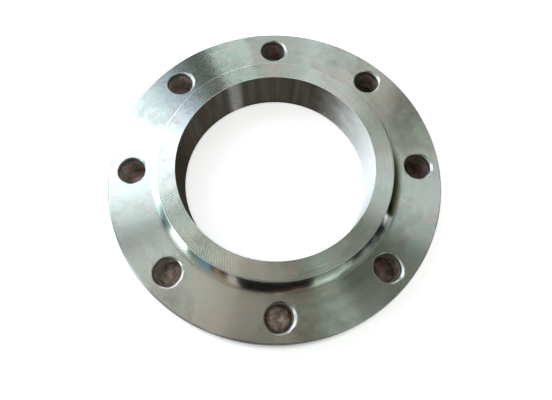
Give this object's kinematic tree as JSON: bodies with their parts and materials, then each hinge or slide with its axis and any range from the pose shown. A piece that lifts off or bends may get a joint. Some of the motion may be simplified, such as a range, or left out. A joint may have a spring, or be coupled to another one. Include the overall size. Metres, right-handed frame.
{
  "type": "pipe flange",
  "caption": "Round steel pipe flange, turned all over, with a raised gasket face, a circle of bolt holes and a short straight weld neck.",
  "frame": {"origin": "centre of the raised gasket face, on which the flange rests", "axes": "+Z along the pipe's axis, from the gasket face up through the neck; +X through the first bolt hole"},
  "size_m": [0.2794, 0.2794, 0.0396],
  "materials": {
    "turned_steel": "turned bright, with fine concentric tool marks, and smoother on the neck's side and root"
  },
  "bodies": {
    "root": {"flange": "turned_steel"}
  },
  "joints": []
}
